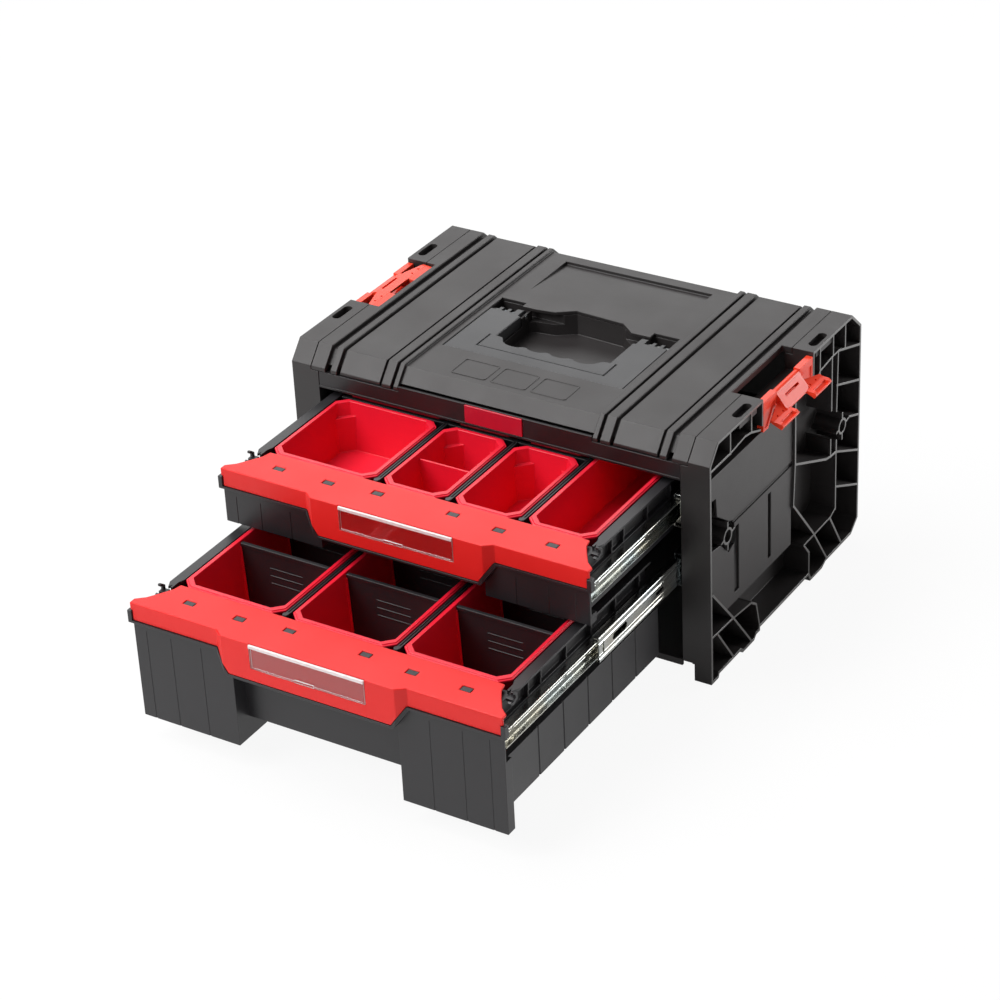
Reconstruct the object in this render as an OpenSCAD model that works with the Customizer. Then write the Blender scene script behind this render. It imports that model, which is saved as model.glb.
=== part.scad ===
// Portable tool box with two pull-out drawers, sliding trays of bins, side latches and a flap handle.
// Millimetres. X runs to the right, Y to the back, Z up.
// The origin is on the floor, under the middle of the whole part with its drawers and latch out.
// Both drawers are drawn pulled out: all of the lower one, half of the upper one.

/* [Cabinet] */
// Width over both side panels
cab_w = 450; // [380:1:540]
// Depth from the front pillars to the back edge
cab_d = 310; // [270:1:370]
// Height on its feet
cab_h = 250; // [242:1:300]
// Thickness of the moulded walls
wall = 3; // [2:0.1:4]
// Height of the underside of the floor panel
floor_z = 17; // [10:0.5:18.5]

/* [Drawers] */
// How far the lower drawer is pulled out
lower_open = 304; // [0:1:306]
// How far the upper drawer is pulled out
upper_open = 157; // [0:1:304]
// Height of the middle of the lower slides
lower_slide_z = 114; // [112:0.5:116]
// Height of the middle of the upper slides
upper_slide_z = 176; // [175.5:0.5:178]
// Thickness of the drawer mouldings
skin = 2.5; // [2:0.1:3]
// Thickness of the bin walls
bin_wall = 2; // [1.4:0.1:2.6]
// Gap between two bins in a drawer
bin_gap = 7.5; // [6.5:0.1:9]

/* [Handle and latches] */
// How far the right latch is swung out of its cut-out
latch_out = 211; // [0:1:214]
// Depth of the finger well under the handle
well_deep = 29; // [24:1:31]
// Radius of the two handle pins
pin_r = 2.5; // [2:0.1:3]

/* [Hidden] */
$fn = 48;
half_w = cab_w / 2;
// the inner faces of the side panels, and the seam between side panel and top cover
bay = half_w - 30;
seam = half_w - 22.2;
// from the middle of the cabinet's front edge, where the shapes are drawn, to the origin
frame_x = -10;
frame_y = 3.6;
// the gap left between two pieces that do not touch
gap = 0.3;
fit = 0.05;
// the front chamfer of the cabinet, and the back one
chamfer_y = 16;
chamfer_z = 18.3;
back_chamfer_y = 20;
back_chamfer_z = 18.4;
// the moulded top is up to this thick under its ridges
cover_t = 7;
cover_z = cab_h - cover_t;
field_back = min(276, cab_d - 28);
// the handle
handle_half = 97.4;
handle_front = 70.5;
arm_in = 62;
arm_end = 157;
cheek_x = 72;
pivot_y = 164;
pivot_z = cab_h - 10;
handle_t = 12;
// the slide members: half heights and where they stand between bay wall and drawer
outer_h = 34;
mid_h = 26.5;
inner_h = 18;
slide_x = bay - 13;
slide_start = 4;
slide_len = cab_d - 24;
screw_ys = [slide_start + 12, slide_start + slide_len - 30];
// the slots along an inner member, and the ones that hold a screw
inner_slots = [20, 36, 72, 108, 144, 180, 216];
drawer_screw_slots = [inner_slots[0], inner_slots[3], inner_slots[6]];
mid_start = 6;
mid_len = cab_d - 42;
// the drawer mouldings
tray_end = cab_d - 42;
tray_front = 12;
tray_low = bay - 5;
tray_mid = slide_x - gap;
tray_top = tray_mid - 4;
rim_x = tray_mid + 1.8;
leg_x = bay - 1.4;
leg_in = 87;
cap_half = bay - 0.7;
cap_end_y = -0.6;
cap_back = 39;
bins_half = bay - 23.5;
drop_top = 98.6;
drop_low = 84.6;
// the cap's top, the black trim and the tray rim, above the middle of the slides
cap_up = 29.6;
rim_up = 29;
bin_up = 30.2;
// the lower edge of the cap at its sides and in the middle, and the step at its lower ends
edge_side = 11.3;
edge_mid = -9.2;
step_up = 21.6;
step_x = 2;
lower_floor = 45;
lower_leg = 22;
upper_floor = 152;
upper_leg = 149;
// the side latches
latch_y0 = 104.5;
latch_y1 = 205.5;
hinge_x = half_w - 3.7;
hinge_z = cab_h - 9;
hinge_r = 1.6;
latch_mid = (latch_y0 + latch_y1) / 2;
gusset_l = 27;
neck = latch_mid - latch_y0 - gusset_l - gap;

// ---------------------------------------------------------------- shared shapes

// a box from one corner to the other
module box(x0, x1, y0, y1, z0, z1) {
    translate([x0, y0, z0])
        cube([x1 - x0, y1 - y0, z1 - z0]);
}

// a finished piece in its place, pulled out to the front by out
module placed(out = 0) {
    translate([frame_x, frame_y - out, 0])
        children();
}

// the same shape on the right and on the left
module both_sides() {
    children();
    mirror([1, 0, 0])
        children();
}

// a side-view outline (y, z) made w wide from x0
module along_x(x0, w) {
    translate([x0, 0, 0])
        rotate([90, 0, 90])
            linear_extrude(w)
                children();
}

// a front-view outline (x, z) made d deep from y0
module along_y(y0, d) {
    translate([0, y0 + d, 0])
        rotate([90, 0, 0])
            linear_extrude(d)
                children();
}

// a flat rib from p to q, drawn in its own plane
module rib_line(p, q, w) {
    len = norm(q - p);
    translate(p)
        rotate(atan2(q[1] - p[1], q[0] - p[0]))
            translate([-w / 2, -w / 2])
                square([len + w, w]);
}

module rib_path(pts, w) {
    for (i = [0 : len(pts) - 2])
        rib_line(pts[i], pts[i + 1], w);
}

// a rectangle with its corners cut off
module cut_rect(w, l, c) {
    polygon([[c - w / 2, -l / 2], [w / 2 - c, -l / 2], [w / 2, c - l / 2], [w / 2, l / 2 - c],
        [w / 2 - c, l / 2], [c - w / 2, l / 2], [-w / 2, l / 2 - c], [-w / 2, c - l / 2]]);
}

// a slot with round ends along y
module slot_y(w, l) {
    square([w, l - w], center = true);
    for (s = [-1, 1])
        translate([0, s * (l - w) / 2])
            circle(d = w);
}

// ---------------------------------------------------------------- the cabinet

// side view of the whole cabinet, with its feet and stacking lugs
side_pts = [[0, 0], [14, 0], [16, 4], [58, 4], [62, 0], [86, 0], [90, 4], [98, 4], [98, 8],
    [200, 8], [204, 0], [230, 0], [238, 4], [cab_d - 15, 4], [cab_d, 16],
    [cab_d, cab_h - back_chamfer_z], [cab_d - back_chamfer_y, cab_h], [chamfer_y, cab_h],
    [0, cab_h - chamfer_z]];

module side_outline(inset) {
    offset(delta = -inset)
        polygon(side_pts);
}

// bosses that take the screws of the case, in side view, and the middles of the stacking slots
boss_pts = [[34, 143], [cab_d - 39, 139]];
stack_slots = [77, 231];

module panel_ribs() {
    ring_w = 2.4;
    top = cab_h - 2;
    back = cab_d - 52;
    rear = cab_d - 2;
    // below the top strip, with the short upright ribs over it
    rib_path([[2, cab_h - 24], [40, cab_h - 23.5], [68, cab_h - 20.5], [80, cab_h - 22.5],
        [98, cab_h - 29]], ring_w);
    rib_path([[214, cab_h - 32], [221, cab_h - 27], [back - 9, cab_h - 24], [back + 3, cab_h - 24],
        [rear, cab_h - 39]], ring_w);
    for (q = [[40, 24], [81, 22], [221, 31], [back - 9, 24], [back + 17, 27]])
        rib_line([q[0], cab_h - q[1]], [q[0], top], ring_w);
    // round the front foot and the back foot
    rib_path([[98, 6], [90, 38], [80, 45], [47, 48.6], [2, 50.7]], ring_w);
    rib_path([[201, 6], [201, 34], [190, 48], [back - 11, 49], [back, 54]], ring_w);
    rib_line([13, 49], [45, 4.5], ring_w);
    rib_path([[4, 96], [44, 49], [80, 3]], ring_w);
    rib_line([back - 12, 49], [cab_d - 36, 4], ring_w);
    // right and lower edge of the raised field, down to the back foot
    rib_path([[plateau_y, plateau_z], [plateau_y, 148], [167, 104], [211, 50], [242, 4]], ring_w);
    // the upright pair behind it and the ribs to the back edge
    rib_line([back, 53], [back, 129], ring_w);
    rib_path([[back, 162], [back + 2, cab_h - 26]], ring_w);
    rib_line([back - 11, 168], [back - 11, cab_h - 26], ring_w);
    rib_path([[plateau_y, 148], [back - 22, 120], [back - 12, 118], [back - 12, 136]], ring_w);
    rib_line([back - 12, 118], [back, 117], ring_w);
    for (z = [[190, 172], [117, 94], [78, 55]])
        rib_line([back, z[0]], [rear, z[1]], ring_w);
    rib_line([cab_d - 24, 142], [rear, 134], ring_w);
    for (p = boss_pts) {
        rib_line([p[0] - 12, p[1] - 2], [p[0] - 8, p[1] - 1], ring_w);
        rib_line([p[0] + 8, p[1] + 1], [p[0] + 13, p[1] + 2], ring_w);
        rib_line([p[0], p[1] + 8], [p[0], p[1] + 14], ring_w);
        rib_line([p[0], p[1] - 14], [p[0], p[1] - 8], ring_w);
    }
}

// the raised field of the side, open below, with a window round the front boss
plateau_y = 170;
plateau_z = cab_h - 35;

module plateau_plan() {
    difference() {
        polygon([[5.5, plateau_z], [plateau_y, plateau_z], [plateau_y, 104], [plateau_y - 4, 104],
            [plateau_y - 4, 62], [36, 62], [5.5, 98]]);
        polygon([[4, 192], [16, 191], [18, 171], [40, 155], [51, 150], [51, 126], [44, 124],
            [40, 122], [24, 138], [4, 140]]);
        // upright gaps between the fields
        translate([51, 72])
            square([9, 70]);
        translate([118.5, 72])
            square([6, 70]);
    }
}

module side_panel_body() {
    difference() {
        union() {
            // rim that goes all the way round, and the flat wall behind the bay
            along_x(bay, half_w - bay)
                difference() {
                    side_outline(0);
                    side_outline(wall);
                }
            along_x(bay, wall)
                side_outline(0);
            // stiffening ribs up to the outer plane
            along_x(bay + 1, half_w - bay - 1)
                intersection() {
                    side_outline(1);
                    panel_ribs();
                }
            // raised field, its top edge and the blind pockets under the stacking slots
            along_x(half_w - 5.6, 3.1)
                plateau_plan();
            along_x(bay + 1, half_w - bay - 3.5)
                rib_line([5.5, plateau_z - 1.2], [plateau_y, plateau_z - 1.2], 2.4);
            for (y = stack_slots)
                box(half_w - 14.5, half_w - 1.5, y - 17, y + 17, cab_h - 9.5, cab_h - 1);
            for (p = boss_pts)
                along_x(bay + 1, half_w - bay - 1)
                    translate(p)
                        circle(r = 8.5);
            // shelf that carries the latch
            along_x(bay, half_w - bay - 8)
                translate([latch_y0 - 3, cab_h - 27])
                    square([latch_y1 - latch_y0 + 6, wall]);
            // end walls of the latch cut-out
            for (y = [latch_y0 - 3, latch_y1 + 0.5])
                along_x(bay, half_w - bay)
                    translate([y, cab_h - 27])
                        square([2.5, 25]);
        }
        // the top cover lies here
        along_x(bay - 1, seam - bay + 1 + gap)
            intersection() {
                difference() {
                    side_outline(-1);
                    side_outline(cover_t + gap);
                }
                translate([-2, cab_h - 22.5])
                    square([cab_d + 4, 30]);
            }
        // latch cut-out
        box(bay - 1, half_w + 1, latch_y0 - 0.5, latch_y1 + 0.5, cab_h - 24, cab_h + 1);
        // stacking slots in the top strip
        for (y = stack_slots)
            translate([half_w - 8, y, cab_h - 7])
                linear_extrude(8)
                    slot_y(9, 28);
        // groove across the raised field
        box(half_w - 4.4, half_w - 2, 41, plateau_y - 1.5, 147.5, 152.5);
        // the front pillar stands on its outer half only
        box(bay - 1, half_w - 18, -1, 18, -1, 18.6);
        // holes for the screws of the slides
        for (z = [lower_slide_z, upper_slide_z])
            for (y = screw_ys)
                along_x(bay - 1, 3.8)
                    translate([y, z])
                        circle(r = 2.05);
        // screw holes through the bosses
        for (p = boss_pts)
            along_x(bay - 1, half_w - bay + 2)
                translate(p)
                    circle(r = 1.9);
        for (p = boss_pts)
            along_x(bay + 8, half_w - bay)
                translate(p)
                    circle(r = 6);
    }
}

module side_panel_right() {
    color([0.09, 0.09, 0.1])
        placed()
            side_panel_body();
}

module side_panel_left() {
    color([0.09, 0.09, 0.1])
        placed()
            mirror([1, 0, 0])
                side_panel_body();
}

// pan-head screws at the bottom of the bosses
module case_screws() {
    color([0.72, 0.73, 0.75])
        placed()
            both_sides()
                for (p = boss_pts) {
                    along_x(bay + 8, 2.4)
                        translate(p)
                            difference() {
                                circle(r = 3.6);
                                square([4, 1], center = true);
                                square([1, 4], center = true);
                            }
                    along_x(bay + 0.5, 7.5)
                        translate(p)
                            circle(r = 1.85);
                }
}

// one strip of the cover from x0 to x1, its top sunk by drop and its lip down to low
module cover_strip(x0, x1, drop, low) {
    along_x(x0, x1 - x0)
        intersection() {
            difference() {
                side_outline(drop);
                side_outline(cover_t);
            }
            translate([-1, cab_h - low])
                square([cab_d + 2, low + 1]);
        }
}

// the opening in the cover for the handle and the finger well, in plan
module handle_opening() {
    polygon([[-98, 69.9], [98, 69.9], [98, 180], [71, 180], [71, 171], [50, 171], [34, 184],
        [-18, 187], [-36, 175], [-56, 172.5], [-71, 172.5], [-71, 180], [-98, 180]]);
}

module top_cover() {
    color([0.12, 0.12, 0.13])
        placed()
            difference() {
                union() {
                    cover_strip(-105, 105, 3.5, 17);
                    // thicker under the sunk field
                    box(-86, 86, 201, field_back + 4, cab_h - 9.5, cab_h - 5);
                    both_sides() {
                        cover_strip(104.9, 110, 0.5, 22);
                        cover_strip(109.9, 113, 5, 17);
                        cover_strip(112.9, 123, 0.5, 22);
                        cover_strip(122.9, 126, 5, 17);
                        cover_strip(125.9, 171, 2, 22);
                        cover_strip(170.9, 174, 5, 17);
                        cover_strip(173.9, 181, 0.5, 22);
                        cover_strip(180.9, 187, 4.5, 17);
                        cover_strip(186.9, seam, 0, 22);
                    }
                    // three raised plain frames
                    for (x = [-43, 0, 43])
                        translate([x, 41, cab_h - 4])
                            linear_extrude(1.1)
                                difference() {
                                    cut_rect(38, 30, 2);
                                    cut_rect(35.6, 27.6, 1.4);
                                }
                }
                translate([0, 0, cover_z - 20])
                    linear_extrude(cover_t + 30)
                        handle_opening();
                // sunk bare field, deeper towards the back
                along_x(-82, 164)
                    polygon([[205, cab_h - 3.4], [field_back, cab_h - 7], [field_back, cab_h + 1],
                        [205, cab_h + 1]]);
                both_sides()
                    box(half_w - 32.5, seam + 1, latch_y0 - 0.5, latch_y1 + 0.5, cover_z - 1, cab_h + 1);
            }
}

// the hole in front of the wavy back edge, in plan
module well_plan(out) {
    offset(delta = out)
        polygon([[-62, 78], [62, 78], [62, 171], [50, 171], [34, 184], [-18, 187], [-36, 175],
            [-56, 172.5], [-62, 168]]);
}

// shallow pocket for the handle with the deep finger well in it
module handle_well() {
    pocket_z = pivot_z - handle_t / 2 - 1.2;
    floor_top = cab_h - well_deep;
    color([0.07, 0.07, 0.08])
        placed()
            difference() {
                union() {
                    translate([0, 0, pocket_z - skin])
                        linear_extrude(cover_z - pocket_z + skin - gap)
                            union() {
                                translate([0, 125])
                                    square([203, 115], center = true);
                                well_plan(2.5);
                            }
                    translate([0, 0, floor_top - skin])
                        linear_extrude(cover_z - floor_top)
                            well_plan(2.5);
                }
                difference() {
                    translate([0, 0, pocket_z])
                        linear_extrude(30)
                            union() {
                                translate([0, 125])
                                    square([198, 110], center = true);
                                well_plan(0);
                            }
                    both_sides()
                        box(62, 64.5, 156, 175.2, pocket_z - 1, cover_z + 1);
                }
                translate([0, 0, floor_top])
                    linear_extrude(30)
                        well_plan(0);
                both_sides()
                    along_x(50, 60)
                        translate([pivot_y, pivot_z])
                            circle(r = pin_r + fit);
            }
}

// plan of the U-shaped carry handle with its finger grooves
module handle_plan() {
    hole = handle_front + 29.5;
    difference() {
        translate([-handle_half, handle_front])
            square([2 * handle_half, pivot_y - handle_front]);
        translate([-arm_in, hole])
            square([2 * arm_in, cab_d]);
        // finger grooves
        for (x = [-37.5, -12.5, 12.5, 37.5])
            translate([x, hole + 2])
                scale([1, 0.5])
                    circle(r = 11);
        both_sides() {
            translate([arm_in - 1, 154])
                square([4.3, 30]);
            // the arm ends here, only its inner cheek runs on to the pin
            translate([cheek_x, arm_end])
                square([handle_half, 20]);
        }
    }
    // wedges behind the roots of the arms
    for (s = [-1, 1])
        polygon([[s * (arm_in - 14), hole - 1], [s * (arm_in - 7), hole + 9],
            [s * (arm_in + 1), hole + 10], [s * (arm_in + 1), hole - 1]]);
}

// flat line that frames the grip, in plan
module grip_line() {
    x = arm_in + 7;
    y = handle_front + 14.5;
    rib_path([[-x, y + 24], [-x, y], [x, y], [x, y + 24]], 1.6);
}

module handle() {
    z0 = pivot_z - handle_t / 2;
    knuckle_r = 4.6;
    color([0.1, 0.1, 0.11])
        placed()
            difference() {
                union() {
                    translate([0, 0, z0])
                        linear_extrude(handle_t)
                            handle_plan();
                    both_sides() {
                        along_x(arm_in + 3.3, cheek_x - arm_in - 3.3)
                            translate([pivot_y, pivot_z])
                                circle(r = handle_t / 2);
                        // two slim knuckles in the pocket behind the arm
                        for (x = [78, 87])
                            along_x(x, 3.6) {
                                translate([pivot_y, pivot_z])
                                    circle(r = knuckle_r);
                                translate([arm_end - 1, pivot_z - knuckle_r])
                                    square([pivot_y - arm_end + 1, 2 * knuckle_r]);
                            }
                        box(78, 90.6, arm_end - 1, arm_end + 1.6, pivot_z - 2, pivot_z + knuckle_r);
                    }
                }
                both_sides()
                    along_x(50, 60)
                        translate([pivot_y, pivot_z])
                            circle(r = pin_r + fit);
                // the arms and the grip are hollow underneath
                both_sides()
                    box(arm_in + 6, handle_half - 3, handle_front + 33, arm_end - 5, z0 - 1, z0 + 7);
                box(-handle_half + 6, handle_half - 6, handle_front + 3, handle_front + 20, z0 - 1,
                    z0 + 8);
                translate([0, 0, z0 + handle_t - 1.2])
                    linear_extrude(5)
                        grip_line();
            }
}

module handle_pins() {
    color([0.78, 0.79, 0.8])
        placed()
            both_sides()
                along_x(61.4, 38)
                    translate([pivot_y, pivot_z])
                        circle(r = pin_r);
}

// dark rail under the cover's front lip
module front_rail() {
    low = cab_h - 39;
    lip = cab_h - 22.4;
    color([0.1, 0.08, 0.08])
        placed()
            difference() {
                union() {
                    box(-bay + gap, bay - gap, 0.4, 3.2, low, lip);
                    box(-104.5, 104.5, 0.4, 3.2, low, cab_h - 17.4);
                    box(-bay + gap, bay - gap, -0.4, 14, low, low + 2.4);
                    box(-bay + gap, bay - gap, 0.4, 22, lip - 2.4, lip);
                    for (x = [-180, -120, -60, 60, 120, 180])
                        box(x - 1.2, x + 1.2, 2, 14, low, lip);
                }
                // seat of the badge
                box(-31.3, 31.3, -1, 1.4, cab_h - 36.5, cab_h - 17);
            }
}

// bare red plate in the rail
module badge_plate() {
    color([0.75, 0.05, 0.07])
        placed()
            box(-31, 31, -0.6, 1.35, cab_h - 36.2, cab_h - 18);
}

module back_panel() {
    y1 = cab_d - 3.3;
    color([0.09, 0.09, 0.1])
        placed()
            union() {
                box(-bay + gap, bay - gap, y1 - wall, y1, floor_z + 3.3, cab_h - 22.4);
                // stiffening ribs on the inside
                for (x = [-150, -90, -30, 30, 90, 150])
                    box(x - 1, x + 1, y1 - wall - 5, y1 - 1, floor_z + 6, cab_h - 28);
                box(-bay + 4, bay - 4, y1 - wall - 4, y1 - 1, 128, 130);
            }
}

module bottom_panel() {
    color([0.09, 0.09, 0.1])
        placed()
            union() {
                box(-bay + gap, bay - gap, 0, cab_d - 3.3, floor_z, floor_z + 3);
                // front edge and ribs underneath
                box(-bay + gap, bay - gap, 0, 3, floor_z - 4, floor_z + 3);
                for (y = [60, 120, 180, 240])
                    box(-bay + 6, bay - 6, y - 1, y + 1, floor_z - 5, floor_z + 1);
                for (x = [-130, -65, 0, 65, 130])
                    box(x - 1, x + 1, 6, cab_d - 10, floor_z - 5, floor_z + 1);
            }
}

// ---------------------------------------------------------------- side latches

// side view of the gusset at the front end of a bracket, drawn in by in
module gusset(in) {
    top = cab_h - 4.4;
    polygon([[latch_y0 + in, top - in], [latch_y0 + gusset_l - in, top - in],
        [latch_y0 + gusset_l - in, top - 10 + in], [latch_y0 + 10 - in / 2, cab_h - 35 + in],
        [latch_y0 + in, cab_h - 35 + in]]);
}

// both ends of something drawn at the front end of a latch
module both_ends() {
    children();
    translate([0, 2 * latch_mid, 0])
        mirror([0, 1, 0])
            children();
}

// fixed red bracket at the outer edge of the cut-out, with a gusset at each end
module latch_base() {
    color([0.85, 0.09, 0.06])
        difference() {
            union() {
                both_ends()
                    along_x(hinge_x - 3.4, 6.8)
                        gusset(0);
                box(hinge_x - 7, hinge_x + 1, latch_y0, latch_y1, cab_h - 24, cab_h - 21);
            }
            // shallow pocket in the outer face
            both_ends()
                along_x(hinge_x + 2.2, 3)
                    difference() {
                        gusset(3);
                        translate([latch_y0, cab_h - 12])
                            square([gusset_l, 10]);
                    }
            along_y(latch_y0 - 1, latch_y1 - latch_y0 + 2)
                translate([hinge_x, hinge_z])
                    circle(r = hinge_r + fit);
        }
}

module latch_base_right() {
    placed()
        latch_base();
}

module latch_base_left() {
    placed()
        mirror([1, 0, 0])
            latch_base();
}

// H-shaped flap, drawn folded in over the cut-out of the right side
module latch_flap() {
    y0 = latch_y0 + 0.6;
    y1 = latch_y1 - 0.6;
    lobe = 33;
    color([0.88, 0.1, 0.06])
        difference() {
            union() {
                // barrel between the gussets
                along_y(latch_mid - neck, 2 * neck)
                    translate([hinge_x, hinge_z])
                        circle(r = 3.6);
                // plate, thicker towards the barrel
                along_y(latch_mid - neck, 2 * neck)
                    polygon([[hinge_x - 19, hinge_z + 4], [hinge_x - 19, hinge_z + 6.6],
                        [hinge_x - 5, hinge_z + 6.6], [hinge_x + 0.6, hinge_z + 3.5],
                        [hinge_x - 2.4, hinge_z - 2.4]]);
                translate([0, 0, hinge_z + 4])
                    linear_extrude(2.6)
                        polygon([[hinge_x - 19, y0], [hinge_x - 15, y0], [hinge_x - 8, y0 + 24],
                            [hinge_x - 8, y1 - 24], [hinge_x - 15, y1], [hinge_x - 19, y1]]);
                // two lobes that hook over the next box, and a low rib at the root of each
                both_ends() {
                    along_y(y0, lobe)
                        polygon([[hinge_x - 18, hinge_z + 3.8], [hinge_x - 25, hinge_z + 0.5],
                            [hinge_x - 28.5, hinge_z + 1.2], [hinge_x - 28.5, hinge_z + 5.4],
                            [hinge_x - 18, hinge_z + 6.6]]);
                    box(hinge_x - 18.5, hinge_x - 8.5, y0 + 26, y0 + 27.4, hinge_z + 2.8,
                        hinge_z + 4.2);
                }
            }
            along_y(latch_y0 - 1, latch_y1 - latch_y0 + 2)
                translate([hinge_x, hinge_z])
                    circle(r = hinge_r + fit);
            // long slit beside the barrel
            box(hinge_x - 9, hinge_x - 7, latch_mid - 13, latch_mid + 13, hinge_z - 5, hinge_z + 20);
            both_ends() {
                // pocket in the hook and two small holes at its root
                box(hinge_x - 27, hinge_x - 22.5, y0 + 5, y0 + lobe - 5, hinge_z - 5, hinge_z + 3.2);
                for (y = [11, 22])
                    translate([hinge_x - 16.5, y0 + y, hinge_z])
                        cylinder(r = 1.2, h = 12);
            }
        }
}

module latch_flap_left() {
    placed()
        mirror([1, 0, 0])
            latch_flap();
}

module latch_flap_right() {
    placed()
        translate([hinge_x, 0, hinge_z])
            rotate([0, latch_out, 0])
                translate([-hinge_x, 0, -hinge_z])
                    latch_flap();
}

module latch_pins() {
    color([0.72, 0.73, 0.75])
        placed()
            both_sides()
                along_y(latch_y0 + 0.2, latch_y1 - latch_y0 - 0.4)
                    translate([hinge_x, hinge_z])
                        circle(r = hinge_r);
}

// ---------------------------------------------------------------- ball-bearing slides

// an open channel in front view: its web stands at x, its lips point by dir
module channel(x, h, depth, t, lip, dir) {
    x1 = x + dir * depth;
    translate([min(x, x + dir * t), -h / 2])
        square([t, h]);
    for (s = [-1, 1]) {
        translate([min(x, x1), s > 0 ? h / 2 - t : -h / 2])
            square([depth, t]);
        translate([min(x1, x1 - dir * t), s > 0 ? h / 2 - lip : -h / 2])
            square([t, lip]);
    }
}

module slide_outer(z) {
    color([0.66, 0.68, 0.7])
        placed()
            both_sides()
                difference() {
                    along_y(slide_start, slide_len)
                        translate([0, z])
                            channel(bay, outer_h, 9.5, 1.2, 3, -1);
                    for (y = screw_ys)
                        along_x(bay - 2, 3)
                            translate([y, z])
                                circle(r = 2.1);
                }
}

module slide_mid(z, out) {
    color([0.72, 0.74, 0.76])
        placed()
            both_sides()
                difference() {
                    union() {
                        along_y(mid_start - out, mid_len)
                            translate([0, z])
                                channel(bay - 2.4, mid_h, 7.8, 1.1, 3.2, -1);
                        // two beads along the web
                        for (s = [-1, 1])
                            box(bay - 4.1, bay - 3, mid_start - out + 3, mid_start - out + mid_len - 3,
                                z + s * 7.7 - 1.2, z + s * 7.7 + 1.2);
                    }
                    // a long slot near the front, short ones behind it
                    for (q = [[37, 7, 26], [110, 4, 14], [170, 4, 14], [230, 4, 14]])
                        along_x(bay - 5, 4)
                            translate([mid_start - out + q[0], z])
                                rotate(-90)
                                    slot_y(q[1], q[2]);
                    // the flanges start behind the web
                    for (s = [-1, 1])
                        translate([bay - 12, mid_start - out - 1, z + s * mid_h / 2 - 4])
                            cube([12, 6, 8]);
                }
}

module slide_inner(z, out) {
    color([0.7, 0.72, 0.74])
        placed()
            both_sides()
                difference() {
                    along_y(slide_start - out, tray_end - slide_start)
                        translate([0, z])
                            channel(slide_x, inner_h, 8.6, 1.2, 1.4, 1);
                    for (y = inner_slots)
                        along_x(slide_x - 1, 3)
                            translate([slide_start - out + y, z])
                                rotate(-90)
                                    slot_y(4.4, 14);
                }
}

// nylon ball cages between middle and inner members
module slide_cages(z, out) {
    color([0.86, 0.85, 0.8])
        placed()
            both_sides()
                for (s = [-1, 1]) {
                    along_y(mid_start - out + 1, 70)
                        translate([bay - 8.6, z + s * 10.7 - 0.6])
                            square([4.6, 1.2]);
                    for (i = [0 : 5])
                        translate([bay - 6.3, mid_start - out + 6 + i * 11, z + s * 10.7])
                            sphere(r = 1.4);
                }
}

module upper_slide_outer() {
    slide_outer(upper_slide_z);
}

module lower_slide_outer() {
    slide_outer(lower_slide_z);
}

// at half stroke the upper middle members are still fully inside
module upper_slide_mid() {
    slide_mid(upper_slide_z, 0);
}

module lower_slide_mid() {
    slide_mid(lower_slide_z, lower_open / 2);
}

module upper_slide_inner() {
    slide_inner(upper_slide_z, upper_open);
}

module lower_slide_inner() {
    slide_inner(lower_slide_z, lower_open);
}

module upper_cages() {
    slide_cages(upper_slide_z, 0);
}

module lower_cages() {
    slide_cages(lower_slide_z, lower_open / 2);
}

// countersunk screws that hold the outer members to the side panels
module slide_screws() {
    color([0.72, 0.73, 0.75])
        placed()
            both_sides()
                for (z = [lower_slide_z, upper_slide_z])
                    for (y = screw_ys) {
                        along_x(bay - 1.15, 3.8)
                            translate([y, z])
                                circle(r = 2);
                        along_x(bay - 1.9, 0.65)
                            translate([y, z])
                                difference() {
                                    circle(r = 3.4);
                                    square([3, 0.9], center = true);
                                    square([0.9, 3], center = true);
                                }
                    }
}

// pan-head screws that hold the inner members to the sides of a tray
module drawer_screws(z) {
    color([0.7, 0.71, 0.73])
        both_sides()
            for (y = drawer_screw_slots) {
                along_x(slide_x + 1.2, 1.8)
                    translate([slide_start + y, z])
                        difference() {
                            circle(r = 3.2);
                            square([3.2, 0.8], center = true);
                            square([0.8, 3.2], center = true);
                        }
                along_x(tray_mid - skin - 0.7, slide_x + 1.3 - tray_mid + skin + 0.7)
                    translate([slide_start + y, z])
                        circle(r = 1.6);
            }
}

module upper_drawer_screws() {
    placed(upper_open)
        drawer_screws(upper_slide_z);
}

module lower_drawer_screws() {
    placed(lower_open)
        drawer_screws(lower_slide_z);
}

// ---------------------------------------------------------------- drawer mouldings

// front view of the red cap, grown by out, its lower ends cut back by step
module cap_front(z, out, step) {
    top = z + cap_up;
    side = cap_half - step;
    polygon([[-cap_half - out, top + out], [-cap_half - out, z + step_up - out],
        [-side - out, z + step_up - out], [-side - out, z + edge_side - out],
        [-drop_top - out, z + edge_side - out], [-drop_low - out, z + edge_mid - out],
        [drop_low + out, z + edge_mid - out], [drop_top + out, z + edge_side - out],
        [side + out, z + edge_side - out], [side + out, z + step_up - out],
        [cap_half + out, z + step_up - out], [cap_half + out, top + out]]);
}

// plan of the front: fy is how far forward the sides stand, my the middle
module front_plan(fy, my, half, back) {
    polygon([[-half, back], [-half, fy], [-drop_top - 1, fy], [-drop_top + 9, my],
        [drop_top - 9, my], [drop_top + 1, fy], [half, fy], [half, back]]);
}

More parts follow.
